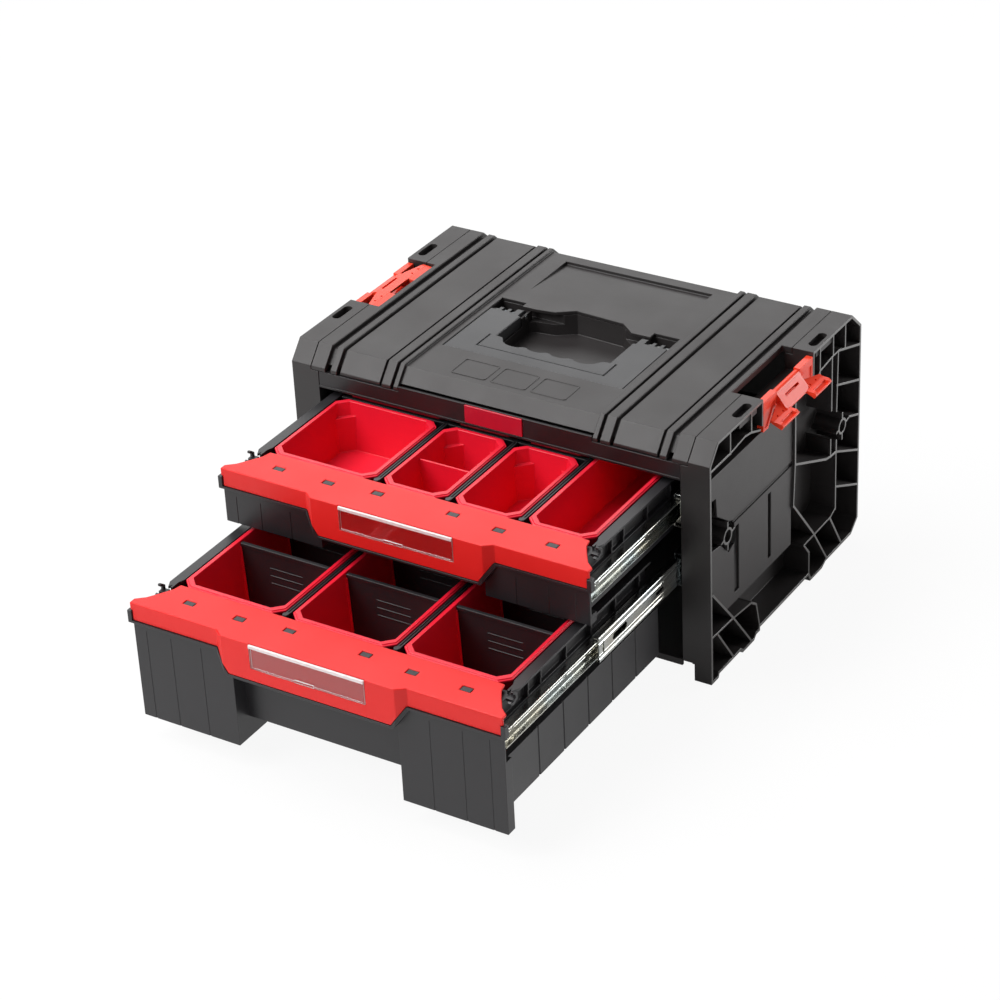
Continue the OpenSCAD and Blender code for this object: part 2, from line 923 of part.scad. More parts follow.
// black tray with its front legs; z is the middle of the slides, deep adds the wide lower part
module drawer_tray(z, floor, leg, deep) {
    low_top = z - 17.8;
    side = deep ? tray_low : tray_mid;
    rim = z + rim_up;
    ledge = z + 11;
    deck = z + 22;
    color([0.09, 0.09, 0.1]) {
        difference() {
            union() {
                box(-side, side, tray_front, tray_end, floor, floor + skin);
                // back wall and recessed front wall
                for (y = [tray_front, tray_end - skin]) {
                    box(-side, side, y, y + skin, floor, deep ? low_top : ledge);
                    box(-tray_mid, tray_mid, y, y + skin, floor, ledge);
                    box(-tray_top, tray_top, y, y + skin, ledge - 1, y > tray_front ? rim : deck);
                }
                both_sides() {
                    if (deep) {
                        box(side - skin, side, -1.5, tray_end, floor, low_top);
                        box(tray_mid - skin, side, 1.5, tray_end, low_top - 2.3, low_top);
                    }
                    box(tray_mid - skin, tray_mid, -1.5, tray_end, deep ? low_top - 1 : floor,
                        ledge);
                    box(tray_top - skin, tray_mid, 6, tray_end, ledge - skin, ledge);
                    box(tray_top - skin, tray_top, 6, 34, ledge - 1, deck + skin);
                    box(tray_top - skin, tray_top, 33, tray_end, ledge - 1, rim);
                    // rim flange with a sloping start
                    translate([0, 0, rim - skin])
                        linear_extrude(skin)
                            polygon([[tray_top - 4.6, 48], [rim_x - 4, 32], [rim_x, 40],
                                [rim_x, tray_end], [tray_top - 4.6, tray_end]]);
                    // upright ribs under the rim
                    for (y = [56, 77, 120, 163, 206, 249])
                        box(tray_top - 1, rim_x - 1, y - 1, y + 1, ledge - 1, rim - 1);
                }
                // deck under the cap, with the tongues that snap into it
                box(-tray_top, tray_top, -1.5, cap_back - 1, deck, deck + skin);
                for (x = [40, 90.4, 144.9])
                    both_sides()
                        box(x - 5, x + 5, x < 60 ? 19.5 : 15, x < 60 ? 25.5 : 21, deck + 1,
                            z + cap_up - 0.4);
                // front legs
                both_sides() {
                    box(leg_in, leg_x, -4, -1.5, leg, z + edge_side - gap - 1);
                    box(leg_in, leg_in + skin, -3, tray_front + 1, leg, z + edge_side - 3);
                    if (deep)
                        box(leg_in, leg_in + skin, tray_front, 38, leg, floor + 1);
                    box(side - 1, leg_x, -3, 7, leg, low_top);
                }
                // black trim that runs round the lower edge of the cap
                intersection() {
                    along_y(-14, 16)
                        difference() {
                            cap_front(z, skin + gap, 0);
                            cap_front(z, gap, step_x);
                            translate([-cab_w, z + step_up - gap])
                                square([2 * cab_w, 40]);
                        }
                    linear_extrude(cab_h)
                        front_plan(-7, -12.5, half_w, cap_end_y);
                }
                // shelf behind the trim, in the middle
                box(-drop_low, drop_low, -4, tray_front + 1, z + edge_mid - gap - skin,
                    z + edge_mid - gap);
            }
            // upright steps in the outer face of the legs
            both_sides()
                for (x = [leg_in + 32, leg_in + 65, leg_in + 92])
                    box(x, x + 1.4, -5, -3.6, leg - 1, z + 2);
            // holes for the screws of the inner members
            both_sides()
                for (y = drawer_screw_slots)
                    along_x(tray_mid - skin - 1, skin + 2)
                        translate([slide_start + y, z])
                            circle(r = 1.65);
            // grooves in the wide lower side
            if (deep)
                both_sides()
                    for (i = [1 : 5])
                        box(side - 0.9, side + 1, tray_end - i * 42.4 - 0.9,
                            tray_end - i * 42.4 + 0.9, floor - 1, low_top + 0.1);
            // the slides' outer members pass here when the drawer is shut
            both_sides()
                box(tray_mid + 0.1, bay + 1, -1.4, tray_end + 1, z - 17.7, z + 17.6);
        }
    }
}

module upper_tray() {
    placed(upper_open)
        drawer_tray(upper_slide_z, upper_floor, upper_leg, false);
}

module lower_tray() {
    placed(lower_open)
        drawer_tray(lower_slide_z, lower_floor, lower_leg, true);
}

// plan of the cap, its front faces moved back by in and its back edge by more
module cap_plan(in, more) {
    polygon([[-cap_half, 1 + more], [-cap_half, -5.5 + in], [-drop_top - 1, -5.5 + in],
        [-drop_top + 8, -12 + in], [drop_top - 8, -12 + in], [drop_top + 1, -5.5 + in],
        [cap_half, -5.5 + in], [cap_half, 1 + more], [186, 8 + more], [178, 20 + more],
        [172, 30 + more], [170, cap_back + more], [-170, cap_back + more], [-172, 30 + more],
        [-178, 20 + more], [-186, 8 + more]]);
}

// red snap-on cap of a drawer front
module drawer_cap(z) {
    top = z + cap_up;
    color([0.86, 0.08, 0.06])
        difference() {
            intersection() {
                translate([0, 0, z - 30])
                    linear_extrude(cap_up + 30)
                        cap_plan(0, 0);
                along_y(-20, 80)
                    cap_front(z, 0, step_x);
            }
            intersection() {
                translate([0, 0, z - 30])
                    linear_extrude(cap_up + 30 - 2.4)
                        cap_plan(2.4, 2);
                along_y(-20, 80)
                    cap_front(z, 1, 0);
            }
            // slots for the tongues
            for (x = [40, 90.4, 144.9])
                both_sides()
                    box(x - 5.5, x + 5.5, x < 60 ? 19 : 14.5, x < 60 ? 26 : 21.5, top - 4, top + 1);
            // seat of the label window
            box(-60.3, 60.3, -13, -10.6, z + 4, top + 0.1);
        }
}

module upper_cap() {
    placed(upper_open)
        drawer_cap(upper_slide_z);
}

module lower_cap() {
    placed(lower_open)
        drawer_cap(lower_slide_z);
}

// clear label holder with a thick top edge, two pairs of dots and a small finger tab
module label_window(z) {
    back = -10.9;
    color([0.9, 0.92, 0.93, 0.4])
        union() {
            box(-60, 60, back - 1, back, z + 4.3, z + cap_up - 1);
            box(-60, 60, back - 2.3, back, z + cap_up - 4, z + cap_up - 0.8);
            box(-60, 60, back - 1.5, back, z + 4.3, z + 6);
            for (s = [-1, 1])
                box(s * 59 - 1, s * 59 + 1, back - 1.5, back, z + 4.3, z + cap_up - 1);
            box(-13, 7, back - 2.1, back, z + 4.3, z + 7.2);
            for (x = [-42, -36, 36, 42])
                along_y(back - 1.8, 1)
                    translate([x, z + 5.4])
                        circle(r = 1.2);
        }
}

module upper_label_window() {
    placed(upper_open)
        label_window(upper_slide_z);
}

module lower_label_window() {
    placed(lower_open)
        label_window(lower_slide_z);
}

// hook-shaped catches at the front corners of a tray
module side_catches(z) {
    color([0.08, 0.08, 0.09])
        both_sides() {
            box(tray_top + 0.2, bay - 9, 26, 33, z + rim_up - 6, z + rim_up - 3);
            box(bay - 12, bay - 9, 29.6, 33, z + rim_up - 6, z + rim_up + 1);
            translate([bay - 9, 26, z + rim_up - 1.5])
                rotate([0, -90, 0])
                    rotate_extrude(angle = 250)
                        translate([3.6, 0])
                            square([2.4, 3]);
        }
}

module upper_catches() {
    placed(upper_open)
        side_catches(upper_slide_z);
}

module lower_catches() {
    placed(lower_open)
        side_catches(lower_slide_z);
}

// ---------------------------------------------------------------- bins

// moulded bin with drafted walls and stepped corners; its rim fills x0 to x1 and y0 to y1
module bin(x0, x1, y0, y1, z0, z1, cross) {
    w = x1 - x0;
    l = y1 - y0;
    rim = 3.2;
    slope = 4;
    // inner width and length under the rim, and where the corner columns end
    wi = w - 6 - 2 * bin_wall;
    li = l - 6 - 2 * bin_wall;
    ledge = z1 - 14;
    draft = 2 * slope * 14 / (z1 - z0);
    color([0.83, 0.05, 0.07])
        translate([(x0 + x1) / 2, (y0 + y1) / 2, 0]) {
            difference() {
                union() {
                    // flange, with a low upstand that is set in a little
                    translate([0, 0, z1 - rim])
                        linear_extrude(rim - 1)
                            cut_rect(w, l, 9);
                    translate([0, 0, z1 - 1.1])
                        linear_extrude(1.1)
                            cut_rect(w - 2.6, l - 2.6, 9);
                    hull() {
                        translate([0, 0, z0])
                            linear_extrude(0.1)
                                cut_rect(w - 6 - 2 * slope, l - 6 - 2 * slope, 7);
                        translate([0, 0, z1 - rim])
                            linear_extrude(0.1)
                                cut_rect(w - 6, l - 6, 10);
                    }
                }
                hull() {
                    translate([0, 0, z0 + bin_wall])
                        linear_extrude(0.1)
                            cut_rect(wi - 2 * slope, li - 2 * slope, 11);
                    translate([0, 0, ledge])
                        linear_extrude(0.1)
                            cut_rect(wi - draft, li - draft, 14);
                }
                hull() {
                    translate([0, 0, ledge])
                        linear_extrude(0.1)
                            cut_rect(wi - draft, li - draft, 8.8);
                    translate([0, 0, z1 + 0.1])
                        linear_extrude(0.1)
                            cut_rect(wi, li, 8.8);
                }
            }
            if (cross)
                along_x(-w / 2 + 5.6, w - 11.2)
                    polygon([[-1.6, z0 + 1], [1.6, z0 + 1], [1, z1 - 5], [-1, z1 - 5]]);
        }
}

// the four columns of the upper drawer, one wide and three narrow; the last is one long bin
narrow_share = 0.2153;
narrow = (2 * bins_half - 3 * bin_gap) * narrow_share;
wide = 2 * bins_half - 3 * bin_gap - 3 * narrow;
col = [-bins_half, -bins_half + wide + bin_gap, -bins_half + wide + narrow + 2 * bin_gap,
    -bins_half + wide + 2 * narrow + 3 * bin_gap];
bin_front = cap_back + 0.6;
bin_end = tray_end - skin - 1;
// the front row of the upper bins is a little longer than the back row
row_front = bin_front + (bin_end - bin_front) * 0.5265;
row_back = row_front + bin_gap;
upper_bin_z = upper_floor + skin + gap;
lower_bin_z = lower_floor + skin + gap;

module upper_bin_wide() {
    placed(upper_open)
        bin(col[0], col[0] + wide, bin_front, row_front, upper_bin_z, upper_slide_z + bin_up,
            false);
}

module upper_bin_split() {
    placed(upper_open)
        bin(col[1], col[1] + narrow, bin_front, row_front, upper_bin_z, upper_slide_z + bin_up,
            true);
}

module upper_bin_third() {
    placed(upper_open)
        bin(col[2], col[2] + narrow, bin_front, row_front, upper_bin_z, upper_slide_z + bin_up,
            false);
}

module upper_bin_fourth() {
    placed(upper_open)
        bin(col[3], col[3] + narrow, bin_front, bin_end, upper_bin_z, upper_slide_z + bin_up,
            false);
}

module upper_back_bin_wide() {
    placed(upper_open)
        bin(col[0], col[0] + wide, row_back, bin_end, upper_bin_z, upper_slide_z + bin_up,
            false);
}

module upper_back_bins() {
    placed(upper_open)
        for (i = [1 : 2])
            bin(col[i], col[i] + narrow, row_back, bin_end, upper_bin_z,
                upper_slide_z + bin_up, false);
}

third = (2 * bins_half - 2 * bin_gap) / 3;

// where the plates stand in the lower bins
divider_ys = [126, 197];

module lower_bin(i) {
    x0 = -bins_half + i * (third + bin_gap);
    low = lower_bin_z + bin_wall - 0.2;
    top = lower_slide_z + bin_up - 5.4;
    wall_low = third / 2 - 9;
    wall_top = third / 2 - 5;
    placed(lower_open) {
        bin(x0, x0 + third, bin_front, bin_end, lower_bin_z, lower_slide_z + bin_up, false);
        // pairs of guide ribs on the side walls, that hold the plates
        color([0.83, 0.05, 0.07])
            translate([x0 + third / 2, 0, 0])
                both_sides()
                    for (y = divider_ys)
                        for (s = [-2.7, 1.3])
                            along_y(y + s, 1.4)
                                polygon([[wall_low + 0.6, low], [wall_low - 1.8, low],
                                    [wall_top - 1.8, top], [wall_top + 0.6, top]]);
    }
}

module lower_bin_left() {
    lower_bin(0);
}

module lower_bin_middle() {
    lower_bin(1);
}

module lower_bin_right() {
    lower_bin(2);
}

// black plates across the lower bins, each with a thick top edge and three raised lines
module lower_dividers() {
    top = lower_slide_z + bin_up - 3;
    half = third / 2 - 5.6;
    color([0.08, 0.08, 0.09])
        placed(lower_open)
            for (i = [-1 : 1])
                for (y = divider_ys)
                    translate([i * (third + bin_gap), y, 0]) {
                        along_y(-1, 2)
                            polygon([[-half, top], [-half + 3.9, lower_bin_z + bin_wall + 0.6],
                                [half - 3.9, lower_bin_z + bin_wall + 0.6], [half, top]]);
                        box(-half, half, -2, 2, top - 2, top + 1.4);
                        for (z = [18, 26, 34])
                            box(-18, 18, -1.6, 0, top - z, top - z + 1);
                    }
}

// black bars that stand between the bins, each with a round knob at the cap
module separators(z, floor, xs) {
    for (x = xs)
        difference() {
            union() {
                box(x - 0.9, x + 0.9, bin_front, bin_end, floor + skin + gap, z + rim_up - 1);
                box(x - 2.1, x + 2.1, bin_front, bin_end, z + rim_up - 2.4, z + rim_up);
                translate([x, bin_front + 2.8, z + rim_up - 4])
                    cylinder(r = 2.7, h = 5);
            }
            // line along the top
            box(x - 0.6, x + 0.6, bin_front + 8, bin_end + 1, z + rim_up - 0.9, z + cap_up);
        }
}

// the upper ones carry a bar across, between the two rows of bins
module upper_separators() {
    y = row_front + bin_gap / 2;
    x1 = col[3] - bin_gap / 2;
    z = upper_slide_z + rim_up;
    color([0.1, 0.1, 0.11])
        placed(upper_open) {
            separators(upper_slide_z, upper_floor,
                [col[1] - bin_gap / 2, col[2] - bin_gap / 2, x1]);
            box(-bins_half, x1, y - 0.9, y + 0.9, upper_bin_z, z - 1);
            box(-bins_half, x1, y - 2.1, y + 2.1, z - 2, z);
        }
}

module lower_separators() {
    color([0.1, 0.1, 0.11])
        placed(lower_open)
            separators(lower_slide_z, lower_floor,
                [-(third + bin_gap) / 2, (third + bin_gap) / 2]);
}

// ---------------------------------------------------------------- what is drawn

top_cover();
handle_well();
handle();
handle_pins();
side_panel_right();
side_panel_left();
case_screws();
front_rail();
badge_plate();
back_panel();
bottom_panel();
latch_base_right();
latch_base_left();
latch_flap_right();
latch_flap_left();
latch_pins();
upper_slide_outer();
lower_slide_outer();
upper_slide_mid();
lower_slide_mid();
upper_slide_inner();
lower_slide_inner();
upper_cages();
lower_cages();
upper_tray();
upper_cap();
upper_label_window();
upper_catches();
upper_separators();
upper_bin_wide();
upper_bin_split();
upper_bin_third();
upper_bin_fourth();
upper_back_bin_wide();
upper_back_bins();
lower_tray();
lower_cap();
lower_label_window();
lower_catches();
lower_separators();
lower_bin_left();
lower_bin_middle();
lower_bin_right();
lower_dividers();
slide_screws();
upper_drawer_screws();
lower_drawer_screws();
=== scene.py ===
import itertools
import math

import bmesh
import bpy
import numpy as np
from mathutils import Matrix, Vector


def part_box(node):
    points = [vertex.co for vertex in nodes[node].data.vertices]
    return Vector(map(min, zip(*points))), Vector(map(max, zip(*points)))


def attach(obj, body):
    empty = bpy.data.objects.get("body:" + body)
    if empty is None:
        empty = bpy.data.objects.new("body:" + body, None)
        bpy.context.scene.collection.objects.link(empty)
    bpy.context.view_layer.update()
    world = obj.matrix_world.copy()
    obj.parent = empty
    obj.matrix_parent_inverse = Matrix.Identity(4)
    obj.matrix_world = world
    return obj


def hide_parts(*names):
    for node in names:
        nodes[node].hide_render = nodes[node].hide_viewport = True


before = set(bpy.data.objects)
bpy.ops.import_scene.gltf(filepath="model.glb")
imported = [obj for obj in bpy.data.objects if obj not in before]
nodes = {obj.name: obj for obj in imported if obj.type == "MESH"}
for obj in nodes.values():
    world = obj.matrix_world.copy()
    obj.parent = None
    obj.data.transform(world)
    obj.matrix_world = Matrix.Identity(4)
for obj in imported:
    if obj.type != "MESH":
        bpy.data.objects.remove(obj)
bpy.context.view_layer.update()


# ---------------------------------------------------------------- studio
# A white sweep of paper under and behind the box, lit by four wide soft boxes, and the camera
# high on the right of the opened drawers.

camera = bpy.data.cameras.new("camera")
camera.sensor_width = 36
camera.lens = 108.135
camera_object = bpy.data.objects.new("camera", camera)
bpy.context.collection.objects.link(camera_object)
camera_place = (1.302413, -2.025628, 1.564355)
right = Vector((0.85311, 0.519917, -0.043472))
up = Vector((-0.232802, 0.453911, 0.860098))
back = Vector((0.466912, -0.723638, 0.508273))
turned = Matrix((right, up, back)).transposed().to_4x4()
camera_object.matrix_world = Matrix.Translation(camera_place) @ turned
bpy.context.scene.camera = camera_object
bpy.context.scene.view_settings.view_transform = "Standard"


def soft_box(name, place, aim, size, watts):
    lamp = bpy.data.lights.new(name, "AREA")
    lamp.shape = "RECTANGLE"
    lamp.size, lamp.size_y = size
    lamp.energy = watts
    lamp_object = bpy.data.objects.new(name, lamp)
    bpy.context.collection.objects.link(lamp_object)
    direction = Vector(aim) - Vector(place)
    lamp_object.rotation_euler = direction.to_track_quat("-Z", "Y").to_euler()
    lamp_object.location = place


soft_box("overhead", (-0.8, -0.3, 2.1), aim=(0, 0, 0.2), size=(1.4, 1.2), watts=38)
soft_box("behind_left", (-1.5, 2.3, 1.9), aim=(0, 0.1, 0.2), size=(2.6, 1.8), watts=30)
soft_box("front_left", (-1.3, -1.7, 1.8), aim=(0, -0.1, 0.1), size=(1.6, 1.2), watts=38)
soft_box("right_side", (1.35, 1.75, 0.45), aim=(0.23, 0.1, 0.13), size=(1.3, 0.7), watts=24)


def graded(tree, factor, low, high, start=0.0, end=1.0):
    """A number that goes from low to high while the factor goes from start to end."""
    grade = tree.nodes.new("ShaderNodeMapRange")
    grade.inputs["From Min"].default_value = start
    grade.inputs["From Max"].default_value = end
    grade.inputs["To Min"].default_value = low
    grade.inputs["To Max"].default_value = high
    tree.links.new(factor, grade.inputs["Value"])
    return grade.outputs["Result"]


def white_paper(name):
    """Reads as white to the eye, and still takes the soft shadow. In reflections it is dark by
    the foot of the right side panel and lighter further out, which grades the panel as a
    contact shade would."""
    whiteness = 0.92
    panel_foot = (0.26, 0.14, 0)
    material = bpy.data.materials.new(name)
    material.use_nodes = True
    tree = material.node_tree
    tree.nodes.clear()
    out = tree.nodes.new("ShaderNodeOutputMaterial")
    mix = tree.nodes.new("ShaderNodeMixShader")
    paper = tree.nodes.new("ShaderNodeBsdfDiffuse")
    paper.inputs["Color"].default_value = (whiteness, whiteness, whiteness, 1)
    glow = tree.nodes.new("ShaderNodeEmission")
    glow.inputs["Strength"].default_value = 1.0
    path = tree.nodes.new("ShaderNodeLightPath")
    place = tree.nodes.new("ShaderNodeTexCoord")
    from_foot = tree.nodes.new("ShaderNodeVectorMath")
    from_foot.operation = "DISTANCE"
    from_foot.inputs[1].default_value = panel_foot
    tree.links.new(place.outputs["Object"], from_foot.inputs[0])

    def calculated(operation, *terms):
        result = tree.nodes.new("ShaderNodeMath")
        result.operation = operation
        for socket, term in zip(result.inputs, terms):
            if isinstance(term, float):
                socket.default_value = term
            else:
                tree.links.new(term, socket)
        return result.outputs[0]

    shade = graded(tree, from_foot.outputs["Value"], 0.02, 0.80, start=0.10, end=0.36)
    glowing = calculated("MULTIPLY", path.outputs["Is Glossy Ray"], shade)
    for ray in ("Is Camera Ray", "Is Transmission Ray"):
        seen = calculated("MULTIPLY", path.outputs[ray], whiteness)
        glowing = calculated("MAXIMUM", glowing, seen)
    tree.links.new(glowing, mix.inputs[0])
    tree.links.new(paper.outputs[0], mix.inputs[1])
    tree.links.new(glow.outputs[0], mix.inputs[2])
    tree.links.new(mix.outputs[0], out.inputs["Surface"])
    return material


bm = bmesh.new()
bmesh.ops.create_grid(bm, x_segments=1, y_segments=1, size=6)
floor_mesh = bpy.data.meshes.new("floor")
bm.to_mesh(floor_mesh)
bm.free()
floor_mesh.materials.append(white_paper("white_paper"))
floor = bpy.data.objects.new("floor", floor_mesh)
bpy.context.collection.objects.link(floor)

world = bpy.data.worlds.new("studio")
bpy.context.scene.world = world
world.use_nodes = True
sky = world.node_tree
sky_light = sky.nodes["Background"]
sky_light.inputs["Color"].default_value = (1, 1, 1, 1)
sky_path = sky.nodes.new("ShaderNodeLightPath")
# white behind the box, and a dimmer light all round it
sky.links.new(graded(sky, sky_path.outputs["Is Camera Ray"], 0.25, 1.0),
              sky_light.inputs["Strength"])


# ---------------------------------------------------------------- top cover
# One injection moulding in charcoal plastic with a fine grain. It lies over the side panels, and
# what holds it there doesn't show; its long ridges guide the box stacked on top.

def own_noise(tree, scale, detail=2.0, stretch=None):
    """Noise in the piece's own coordinates, so that it moves with the piece."""
    place = tree.nodes.new("ShaderNodeTexCoord").outputs["Object"]
    if stretch:
        mapping = tree.nodes.new("ShaderNodeMapping")
        mapping.inputs["Scale"].default_value = stretch
        tree.links.new(place, mapping.inputs["Vector"])
        place = mapping.outputs["Vector"]
    noise = tree.nodes.new("ShaderNodeTexNoise")
    noise.inputs["Scale"].default_value = scale
    noise.inputs["Detail"].default_value = detail
    tree.links.new(place, noise.inputs["Vector"])
    return noise


def blended(tree, factor, one, other):
    """A colour between two, by the factor."""
    blend = tree.nodes.new("ShaderNodeMix")
    blend.data_type = "RGBA"
    blend.inputs[6].default_value = tuple(one) + (1,)
    blend.inputs[7].default_value = tuple(other) + (1,)
    tree.links.new(factor, blend.inputs[0])
    return blend.outputs[2]


def moulded_plastic(name, colour, roughness, grain=0.1, grain_scale=1500, mottle=0.25,
                    shine=0.5):
    """Plastic with a fine grain, faint flow marks in its gloss and a slightly uneven colour."""
    gloss_spread = 0.06
    material = bpy.data.materials.new(name)
    material.use_nodes = True
    tree = material.node_tree
    shader = tree.nodes["Principled BSDF"]
    shader.inputs["IOR"].default_value = 1.5
    shader.inputs["Specular IOR Level"].default_value = shine
    flow = own_noise(tree, 14, 5)
    flow.inputs["Roughness"].default_value = 0.6
    tint = blended(tree, flow.outputs["Fac"], [c * (1 - mottle) for c in colour],
                   [min(1, c * (1 + mottle)) for c in colour])
    gloss = graded(tree, flow.outputs["Fac"], roughness - gloss_spread,
                   roughness + gloss_spread, start=0.25, end=0.75)
    fine = own_noise(tree, grain_scale)
    bump = tree.nodes.new("ShaderNodeBump")
    bump.inputs["Strength"].default_value = grain
    bump.inputs["Distance"].default_value = 0.0004
    tree.links.new(tint, shader.inputs["Base Color"])
    tree.links.new(gloss, shader.inputs["Roughness"])
    tree.links.new(fine.outputs["Fac"], bump.inputs["Height"])
    tree.links.new(bump.outputs["Normal"], shader.inputs["Normal"])
    return material


def free_width(face):
    """For every edge of a face, how far the face reaches inwards before it meets another edge."""
    no_limit = 1.0
    almost_zero, on_the_edge = 1e-9, 1e-7
    places_along = (0.08, 0.5, 0.92)
    nearly_straight = 0.87  # cosine between two edges that are 30 degrees apart
    corners = np.array([loop.vert.co for loop in face.loops])
    ends = np.roll(corners, -1, axis=0)
    normal = np.array(face.normal)
    run = ends - corners
    length = np.linalg.norm(run, axis=1)
    along = run / np.maximum(length, almost_zero)[:, None]
    inward = np.cross(normal, along)
    width = np.full(len(corners), no_limit)
    for place in places_along:
        start = corners + run * place
        for i in range(len(corners)):
            # in the edge's own axes, the other edges that cross the line straight inwards
            u0 = (corners - start[i]) @ along[i]
            v0 = (corners - start[i]) @ inward[i]
            u1 = (ends - start[i]) @ along[i]
            v1 = (ends - start[i]) @ inward[i]
            crosses = (u0 * u1 <= 0) & (np.abs(u0 - u1) > almost_zero)
            crosses[i] = False
            hit = v0[crosses] - u0[crosses] * (v1 - v0)[crosses] / (u1 - u0)[crosses]
            hit = hit[hit > on_the_edge]
            if len(hit):
                width[i] = min(width[i], hit.min())
    # a short neighbour round a corner leaves as little room
    for i in range(len(corners)):
        for j in (i - 1, (i + 1) % len(corners)):
            if abs(along[i] @ along[j]) < nearly_straight:
                width[i] = min(width[i], length[j])
    return width


def share_least_radius(bm, weight):
    """Edges that run on smoothly from one another share one radius, the smallest of them."""
    runs_on = -0.85  # cosine between the ways out of a vertex
    chain = list(range(len(bm.edges)))

    def first(i):
        while chain[i] != i:
            i = chain[i]
        return i

    for vert in bm.verts:
        ways = [(e.index, (e.other_vert(vert).co - vert.co).normalized())
                for e in vert.link_edges if e[weight] > 0]
        for (i, one), (j, other) in itertools.combinations(ways, 2):
            if one.dot(other) < runs_on:
                chain[first(i)] = first(j)
    least = {}
    for edge in bm.edges:
        if edge[weight] > 0:
            start = first(edge.index)
            least[start] = min(least.get(start, 1.0), edge[weight])
    for edge in bm.edges:
        if edge[weight] > 0:
            edge[weight] = least[first(edge.index)]


def rounded(node, body, material, radius, segments=2):
    """The CAD piece again, with the small radius that every moulded or pressed edge has.
    Where the piece is too slim for the whole radius, the edge gets a smaller one."""
    no_limit = 1.0
    same_point = 0.000004
    same_plane = math.radians(0.4)
    sharp = math.radians(28)
    share_of_room = 0.42
    bm = bmesh.new()
    bm.from_mesh(nodes[node].data)
    bmesh.ops.remove_doubles(bm, verts=bm.verts, dist=same_point)
    bmesh.ops.dissolve_limit(bm, angle_limit=same_plane, use_dissolve_boundaries=False,
                             verts=bm.verts, edges=bm.edges, delimit=set())
    weight = bm.edges.layers.float.new("bevel_weight_edge")
    room = np.full(len(bm.edges), no_limit)
    bm.edges.index_update()
    for face in bm.faces:
        for loop, width in zip(face.loops, free_width(face)):
            room[loop.edge.index] = min(room[loop.edge.index], width)
    for edge in bm.edges:
        if edge.is_manifold and edge.calc_face_angle() > sharp:
            edge[weight] = min(1.0, share_of_room * room[edge.index] / radius)
    share_least_radius(bm, weight)
    for face in bm.faces:
        face.smooth = True
    mesh = bpy.data.meshes.new(node + "_moulded")
    bm.to_mesh(mesh)
    bm.free()
    mesh.materials.append(material)
    piece = bpy.data.objects.new(node + "_moulded", mesh)
    bpy.context.collection.objects.link(piece)
    edges = piece.modifiers.new("edge_radius", "BEVEL")
    edges.limit_method = "WEIGHT"
    edges.offset_type = "OFFSET"
    edges.width = radius
    edges.segments = segments
    edges.profile = 0.5
    edges.material = -1
    edges.use_clamp_overlap = False
    flat = piece.modifiers.new("flat_faces", "WEIGHTED_NORMAL")
    flat.weight = 80
    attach(piece, body)
    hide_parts(node)
    return piece


charcoal = moulded_plastic("charcoal_plastic", (0.024, 0.021, 0.021), 0.46)
rounded("top_cover", "cabinet", charcoal, 0.0007, segments=3)


# ---------------------------------------------------------------- handle and its well
# A U-shaped carry handle in satin black plastic. It turns on two steel pins in a pocket of the
# cover and lies flat over a deep well for the fingers.

handle_black = moulded_plastic("handle_plastic", (0.024, 0.024, 0.026), 0.4, grain=0.08)
rounded("handle_well", "cabinet", charcoal, 0.0006)
rounded("handle", "handle", handle_black, 0.0009, segments=3)


def plated_steel(name, colour, roughness):
    """Steel with thin zinc plating: faint streaks along its length, and a yellow to blue cast
    from the passivation."""
    gloss_spread = 0.06
    yellowish, bluish = (1.02, 1, 0.93), (0.90, 0.98, 1.03)
    material = bpy.data.materials.new(name)
    material.use_nodes = True
    tree = material.node_tree
    shader = tree.nodes["Principled BSDF"]
    shader.inputs["Metallic"].default_value = 1
    streak = own_noise(tree, 1, 1, stretch=(340, 3, 340))
    cloud = own_noise(tree, 26)
    cast = graded(tree, cloud.outputs["Fac"], 0, 1, start=0.35, end=0.65)
    tint = blended(tree, cast, [c * share for c, share in zip(colour, yellowish)],
                   [c * share for c, share in zip(colour, bluish)])
    gloss = graded(tree, streak.outputs["Fac"], roughness - gloss_spread,
                   roughness + gloss_spread, start=0.3, end=0.7)
    tree.links.new(tint, shader.inputs["Base Color"])
    tree.links.new(gloss, shader.inputs["Roughness"])
    return material


def second_material(piece, material, wanted):
    """Gives the wanted faces of a piece another finish."""
    piece.data.materials.append(material)
    for face in piece.data.polygons:
        if wanted(face):
            face.material_index = 1


bright_zinc = plated_steel("bright_zinc", (0.66, 0.66, 0.64), 0.22)
dull_steel = plated_steel("dull_steel", (0.16, 0.16, 0.16), 0.45)
pins = rounded("handle_pins", "cabinet", dull_steel, 0.0003)
# only the turned ends of the pins are bright
second_material(pins, bright_zinc, lambda face: abs(face.normal.x) > 0.9)


# ---------------------------------------------------------------- case
# Two deep ribbed side panels, a floor and a back panel carry the whole box, all moulded in the
# same charcoal plastic. Each side panel has two pan-head screws in its bosses.

for node in ("back_panel", "bottom_panel"):
    rounded(node, "cabinet", charcoal, 0.0005)
# a paler charcoal for the outer faces of the ribs: painted highlight
rib_edge_highlight = moulded_plastic("rib_edge_painted_highlight_plastic", (0.085, 0.082, 0.08), 0.3, grain=0.04,
                           mottle=0.3, shine=0.9)
rim_depth = 0.0006
for node, side in (("side_panel_right", 1), ("side_panel_left", -1)):
    panel = rounded(node, "cabinet", charcoal, 0.0005)
    rim = max(side * vert.co.x for vert in panel.data.vertices)
    # the narrow outer faces of the ribs get a paler, smoother plastic: a painted highlight for
    # the grazing light they catch more than the recessed field does
    second_material(panel, rib_edge_highlight, lambda face: side * face.normal.x > 0.99
                    and side * face.center.x > rim - rim_depth)
rounded("case_screws", "cabinet", bright_zinc, 0.0002)


# ---------------------------------------------------------------- front rail and its plate
# A dark moulded rail closes the gap under the cover's lip. A plain red plate, moulded too, lies
# in a seat in it; how it is held doesn't show.

